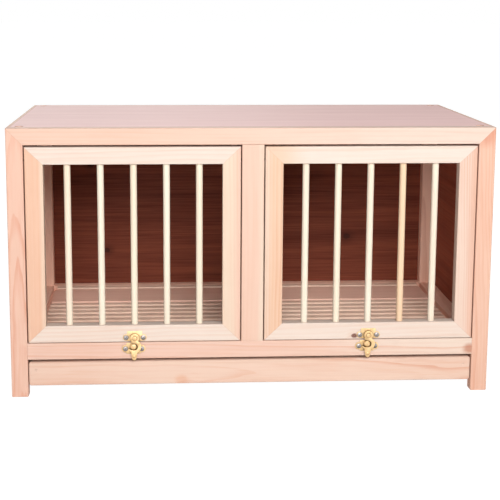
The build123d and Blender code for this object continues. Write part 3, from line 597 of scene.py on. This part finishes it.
# The doors: mitred pine frames with round bars let into both rails. The rails are paler
# than the stiles, and one bar of the right door is of redder wood.
door_pale = lit_colour(255, 238, 226)
door_dark = lit_colour(248, 210, 188)
door_corners = {}
for side, word in ((-1, "left"), (1, "right")):
    outer_low, outer_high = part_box(f"{word}_door_outer_stile")
    inner_low, inner_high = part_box(f"{word}_door_inner_stile")
    rail_low, rail_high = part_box(f"{word}_door_top_rail")
    # each mitre runs from a corner of the door to a corner of its opening
    slant = Vector((rail_high.z - rail_low.z, 0.0, outer_high.x - outer_low.x)).normalized()
    mirrored_slant = Vector((slant.x, 0.0, -slant.z))
    left, right = min(outer_low.x, inner_low.x), max(outer_high.x, inner_high.x)
    for level, height in (("top", rail_high.z), ("bottom", outer_low.z)):
        turned, straight = (mirrored_slant, slant) if level == "top" else (slant, mirrored_slant)
        door_corners[word, level, "left"] = (Vector((left, 0.0, height)), straight)
        door_corners[word, level, "right"] = (Vector((right, 0.0, height)), turned)
        knots = ((-0.0237, -0.0083, 0.0042),) if (word, level) == ("right", "bottom") else ()
        warm = ((0, -0.10, -0.16, lit_colour(255, 222, 196)),) if (word, level) == ("right", "top") else ()
        dress_wood(f"{word}_door_{level}_rail", "x", pale=door_pale, dark=door_dark, ring=0.0042,
                   contrast=0.40, wander=0.010, pith=(0.03 * side, 0.035), tilt=(0.9 * side, 0.3),
                   knots=knots, drift=warm, seed=61.0 + 3 * side + len(level),
                   joints=(door_corners[word, level, "left"], door_corners[word, level, "right"]))
stile_looks = {
    "left_door_outer_stile": (lit_colour(255, 210, 183), lit_colour(244, 182, 148), 0.25, 0.0045,
                              (0.006, 0.013, lit_colour(255, 226, 203))),
    "left_door_inner_stile": (lit_colour(255, 230, 208), lit_colour(248, 200, 172), 0.30, 0.0040,
                              (0.000, 0.012, lit_colour(255, 216, 196))),
    "right_door_inner_stile": (lit_colour(255, 217, 189), lit_colour(243, 184, 150), 0.45, 0.0036,
                               (-0.002, -0.012, lit_colour(255, 226, 205))),
    "right_door_outer_stile": (lit_colour(255, 226, 209), lit_colour(236, 178, 152), 0.50, 0.0028,
                               (0.000, 0.013, lit_colour(250, 204, 182))),
}
for number, (name, (pale, dark, contrast, ring, drift)) in enumerate(stile_looks.items()):
    word = name.split("_")[0]
    edge = "left" if number % 2 == 0 else "right"
    dress_wood(name, "z", pale=pale, dark=dark, ring=ring, contrast=contrast, wander=0.006,
               pith=(0.034 * (-1) ** number, 0.030), tilt=(0.6, 0.25), seed=71.0 + 3.7 * number,
               joints=(door_corners[word, "top", edge], door_corners[word, "bottom", edge]),
               drift=((1, *drift),))

cream = (1.0, 1.0, 1.0, 1.0)
bar_tones = {
    "left": [(1.0, 0.955, 0.93, 1.0), cream, (1.0, 0.985, 0.96, 1.0), cream, (1.0, 0.99, 0.97, 1.0)],
    "right": [cream, (1.0, 0.985, 0.96, 1.0), cream, (0.98, 0.80, 0.66, 1.0), (1.0, 0.985, 0.985, 1.0)],
}
bar_diameter = 0.011
for word in ("left", "right"):
    low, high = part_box(f"{word}_door_bars")
    bar_pitch = (high.x - low.x - bar_diameter) / 4
    first = low.x + bar_diameter / 2 - bar_pitch / 2
    vary_boards(f"{word}_door_bars", "z", 0, first, bar_pitch, bar_tones[word],
                pale=wood_colour(216, 206, 190), dark=wood_colour(210, 184, 160), ring=0.004, contrast=0.35,
                wander=0.004, pith=(0.01, 0.03), tilt=(0.4, 0.3), seed=83.0)


# The drawer: a thick pine front with softened corners and a bold arched figure, and a
# shallow tray of pine sides and a plywood bottom behind it.
dress_wood("drawer_front", "x", pale=lit_colour(255, 223, 204), dark=lit_colour(238, 172, 142),
           ring=0.0048, contrast=0.60, wander=0.018, pith=(-0.006, 0.024), tilt=(1.1, 0.3), seed=94.0,
           knots=((-0.108, -0.0265, 0.0055),),
           stains=((-0.118, -0.013, 0.004, 0.45, lit_colour(244, 178, 140)),))
for number, name in enumerate(("drawer_left_side", "drawer_right_side", "drawer_back")):
    dress_wood(name, "x" if name == "drawer_back" else "y", pale=wood_colour(240, 204, 184),
               dark=wood_colour(220, 164, 138), ring=0.005, contrast=0.4, wander=0.010, pith=(0.01, 0.05),
               tilt=(1.0, 0.4), seed=101.0 + number)
dress("drawer_bottom", plywood("drawer_bottom", "z", *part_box("drawer_bottom"), wood_colour(226, 192, 176),
                               wood_colour(206, 166, 150), 1.1, 17.0))


# The catches: brass-plated pressed plates, studs and swing hooks, held by small zinc
# screws. The plating has faint smears and a soft polish. The crevices are darkened by
# painted shade, and faces that point down by a painted reflection of a darker studio.
plated_metal, given, made = new_group(
    "plated_metal",
    (
        ("Vector", "Vector"),
        ("Normal", "Vector"),
        ("Bright", "Color"),
        ("Dull", "Color"),
        ("Polish", "Float"),
        ("Seed", "Float"),
    ),
    (("Color", "Color"), ("Height", "Float"), ("Roughness", "Float")),
)
tree = plated_metal
facing = tree.nodes.new("ShaderNodeSeparateXYZ")
feed(tree, facing.inputs[0], given["Normal"])
# painted reflection shade: faces that point down turn towards the dull colour, added to the real tarnish of
# the smears
painted_underside_shade = spread(tree, facing.outputs[2], 0.25, -0.75, 0.0, 1.0)
smears = stretched_noise(tree, given["Vector"], (180.0, 180.0, 180.0), given["Seed"], 3.0)
scratches = stretched_noise(tree, given["Vector"], (400.0, 400.0, 4000.0), given["Seed"], 2.0)
tarnish_and_painted_shade = calc(tree, "MULTIPLY_ADD", spread(tree, smears, 0.45, 0.75), 0.55, painted_underside_shade, clamp=True)
feed(tree, made["Color"], mix_colour(tree, tarnish_and_painted_shade, given["Bright"], given["Dull"]))
feed(tree, made["Roughness"], calc(tree, "MULTIPLY_ADD", smears, 0.25, given["Polish"]))
feed(tree, made["Height"], scratches)


def metal(name, bright, dull, crevice_shade_colour, polish, seed=0.0):
    """A plated metal finish, with painted shade darkening its crevices."""
    material, tree, output = new_material(name)
    shader = tree.nodes.new("ShaderNodeBsdfPrincipled")
    feed(tree, output.inputs["Surface"], shader.outputs[0])
    surface = tree.nodes.new("ShaderNodeTexCoord")
    finish = place_group(tree, plated_metal, Vector=surface.outputs["Object"],
                         Normal=surface.outputs["Normal"], Bright=bright, Dull=dull, Polish=polish, Seed=seed)
    crevice = tree.nodes.new("ShaderNodeAmbientOcclusion")
    crevice.samples = 8
    crevice.inputs["Distance"].default_value = 0.005
    # painted shade: ambient occlusion darkens the crevices towards the crevice shade colour
    painted_crevice_shade = calc(tree, "MULTIPLY", spread(tree, crevice.outputs["AO"], 0.35, 0.95, 1.0, 0.0), 0.9)
    feed(tree, shader.inputs["Base Color"], mix_colour(tree, painted_crevice_shade, finish["Color"], crevice_shade_colour))
    feed(tree, shader.inputs["Roughness"], finish["Roughness"])
    shader.inputs["Metallic"].default_value = 1.0
    bump = tree.nodes.new("ShaderNodeBump")
    bump.inputs["Strength"].default_value = 0.1
    bump.inputs["Distance"].default_value = 0.00005
    feed(tree, bump.inputs["Height"], finish["Height"])
    feed(tree, shader.inputs["Normal"], bump.outputs[0])
    return material


# the third colour of each metal is its painted crevice shade
brass = metal("brass", wood_colour(232, 198, 150), wood_colour(170, 132, 80), wood_colour(84, 62, 32),
              0.28, 1.0)
zinc = metal("zinc", wood_colour(164, 158, 156), wood_colour(104, 98, 96), wood_colour(64, 60, 56),
             0.40, 2.0)
blued = metal("blued_steel", wood_colour(84, 90, 100), wood_colour(40, 44, 52), wood_colour(24, 26, 30),
              0.38, 3.0)
nail_metal = metal("nail_steel", wood_colour(222, 196, 182), wood_colour(176, 148, 132),
                   wood_colour(120, 96, 84), 0.5)


def new_piece(name, material, shells, body, nodes):
    """One object from closed shells. A shell is rings of points, (rings, places, 3): neighbouring
    rings are joined by faces of four corners, and the first and the last ring are filled."""
    points, faces, start = [], [], 0
    for rings in shells:
        count, around = rings.shape[:2]
        place = np.arange(count * around).reshape(count, around)
        after = np.roll(place, -1, axis=1)
        sides = np.stack((place[:-1], after[:-1], after[1:], place[1:]), axis=-1).reshape(-1, 4)
        # the sides point outwards when the volume that they close is positive
        corners = rings.reshape(-1, 3)[sides] - rings.reshape(-1, 3).mean(axis=0)
        volume = np.einsum("ij,ij->", corners[:, 0], np.cross(corners[:, 1], corners[:, 2]))
        volume += np.einsum("ij,ij->", corners[:, 0], np.cross(corners[:, 2], corners[:, 3]))
        loops = [*sides.tolist(), place[0][::-1].tolist(), place[-1].tolist()]
        faces += [[start + corner for corner in (loop if volume > 0 else loop[::-1])] for loop in loops]
        points.append(rings.reshape(-1, 3))
        start += count * around
    mesh = bpy.data.meshes.new(name)
    mesh.from_pydata(np.concatenate(points).tolist(), [], faces)
    mesh.materials.append(material)
    mesh.set_sharp_from_angle(angle=math.radians(38))
    piece = bpy.data.objects.new(name, mesh)
    bpy.context.scene.collection.objects.link(piece)
    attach(piece, body)
    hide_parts(*nodes)
    return piece


def eased_copy(name, node, material, body, width):
    """The shape of a CAD node with its sharp edges rounded, as pressed metal has them."""
    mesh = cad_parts[node].data.copy()
    mesh.name = name
    shape = bmesh.new()
    shape.from_mesh(mesh)
    bmesh.ops.remove_doubles(shape, verts=shape.verts, dist=0.00001)
    bmesh.ops.dissolve_limit(shape, angle_limit=math.radians(1), verts=shape.verts, edges=shape.edges)
    bmesh.ops.recalc_face_normals(shape, faces=shape.faces)
    shape.to_mesh(mesh)
    shape.free()
    mesh.materials.clear()
    mesh.materials.append(material)
    mesh.polygons.foreach_set("use_smooth", [True] * len(mesh.polygons))
    piece = bpy.data.objects.new(name, mesh)
    bpy.context.scene.collection.objects.link(piece)
    rounding = piece.modifiers.new("rounding", "BEVEL")
    rounding.width = width
    rounding.segments = 3
    rounding.limit_method = "ANGLE"
    rounding.angle_limit = math.radians(35)
    rounding.harden_normals = True
    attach(piece, body)
    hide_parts(node)
    return piece


def screw(seat, outward, head, height, recess, shank, length, turn, crossed=False):
    """A screw as rings about its axis. The head's recess is a slot, or two that cross: in each
    direction its edge is where a ray from the axis leaves the slot. The dome falls from the
    edge of the recess to the rim as a parabola."""
    reach, half_width, depth = recess
    turns = turn + np.array((0.0, math.pi / 2))[: 2 if crossed else 1]
    corner = math.atan2(half_width, reach)
    ends = [[t + corner, t - corner, t + math.pi + corner, t + math.pi - corner] for t in turns]
    even = np.linspace(0, 2 * math.pi, 56, endpoint=False)
    around = np.sort(np.concatenate((even, np.concatenate(ends) % (2 * math.pi))))
    slots = [np.minimum(reach / np.maximum(np.abs(np.cos(around - t)), 1e-6),
                        half_width / np.maximum(np.abs(np.sin(around - t)), 1e-6)) for t in turns]
    edge = np.max(slots, axis=0)
    rim = 0.45 * height

    def dome(radius):
        return rim + (height - rim) * (1 - (radius / head) ** 2)

    floor = dome(0) - depth + 0 * edge
    rings = [(0.02 * edge, floor), (0.94 * edge, floor), (edge, dome(edge))]
    for share in (0.1, 0.35, 0.6, 0.8, 0.92):
        radius = edge + (head - edge) * share
        rings.append((radius, dome(radius)))
    flat = 0 * edge
    rings += [(head + flat, 0.8 * rim + flat), (head + flat, flat), (shank + flat, flat),
              (shank + flat, -0.75 * length + flat), (0.1 * shank + flat, -length + flat)]
    radius = np.array([ring[0] for ring in rings])[..., None]
    rise = np.array([ring[1] for ring in rings])[..., None]
    outward = np.array(outward)
    across = np.array((1.0, 0.0, 0.0))
    upward = np.cross(outward, across)
    direction = np.cos(around)[:, None] * across + np.sin(around)[:, None] * upward
    return np.array(seat) + radius * direction + rise * outward


turns = np.random.default_rng(9)
head_radius, head_height = 0.0041, 0.0018
latch_slot, latch_shank = (0.0036, 0.00055, 0.0008), 0.0013
eased_edge = 0.0004
for word in ("left", "right"):
    for part, body in (("plate", f"{word}_door"), ("hook", f"{word}_hook"), ("keeper", "cabinet")):
        eased_copy(f"{word}_{part}", f"{word}_latch_{part}", brass, body, eased_edge)
    for part, body in (("plate", f"{word}_door"), ("keeper", "cabinet")):
        node = f"{word}_latch_{part}_screws"
        low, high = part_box(node)
        seat_depth = low.y + head_height
        seats = [(x, seat_depth, (low.z + high.z) / 2) for x in (low.x + head_radius, high.x - head_radius)]
        shells = [screw(seat, (0.0, -1.0, 0.0), head_radius, head_height, latch_slot, latch_shank,
                        high.y - seat_depth, turns.uniform(0.4, 1.2)) for seat in seats]
        new_piece(f"{word}_{part}_screws", zinc, shells, body, [node])
low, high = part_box("roof_screws")
roof_head, roof_head_height = 0.00575, 0.0016
roof_recess, roof_shank = (0.0029, 0.00055, 0.0010), 0.002
seats = [(x, y, high.z - roof_head_height)
         for x in (low.x + roof_head, high.x - roof_head) for y in (low.y + roof_head, high.y - roof_head)]
shells = [screw(seat, (0.0, 0.0, 1.0), roof_head, roof_head_height, roof_recess, roof_shank,
                high.z - roof_head_height - low.z, turns.uniform(0.0, 1.5), crossed=True) for seat in seats]
new_piece("roof_screw_heads", blued, shells, "cabinet", ["roof_screws"])
for name in ("centre_pivot_pin", "outer_pivot_pins"):
    dress(name, zinc)
dress("drawer_nails", nail_metal)
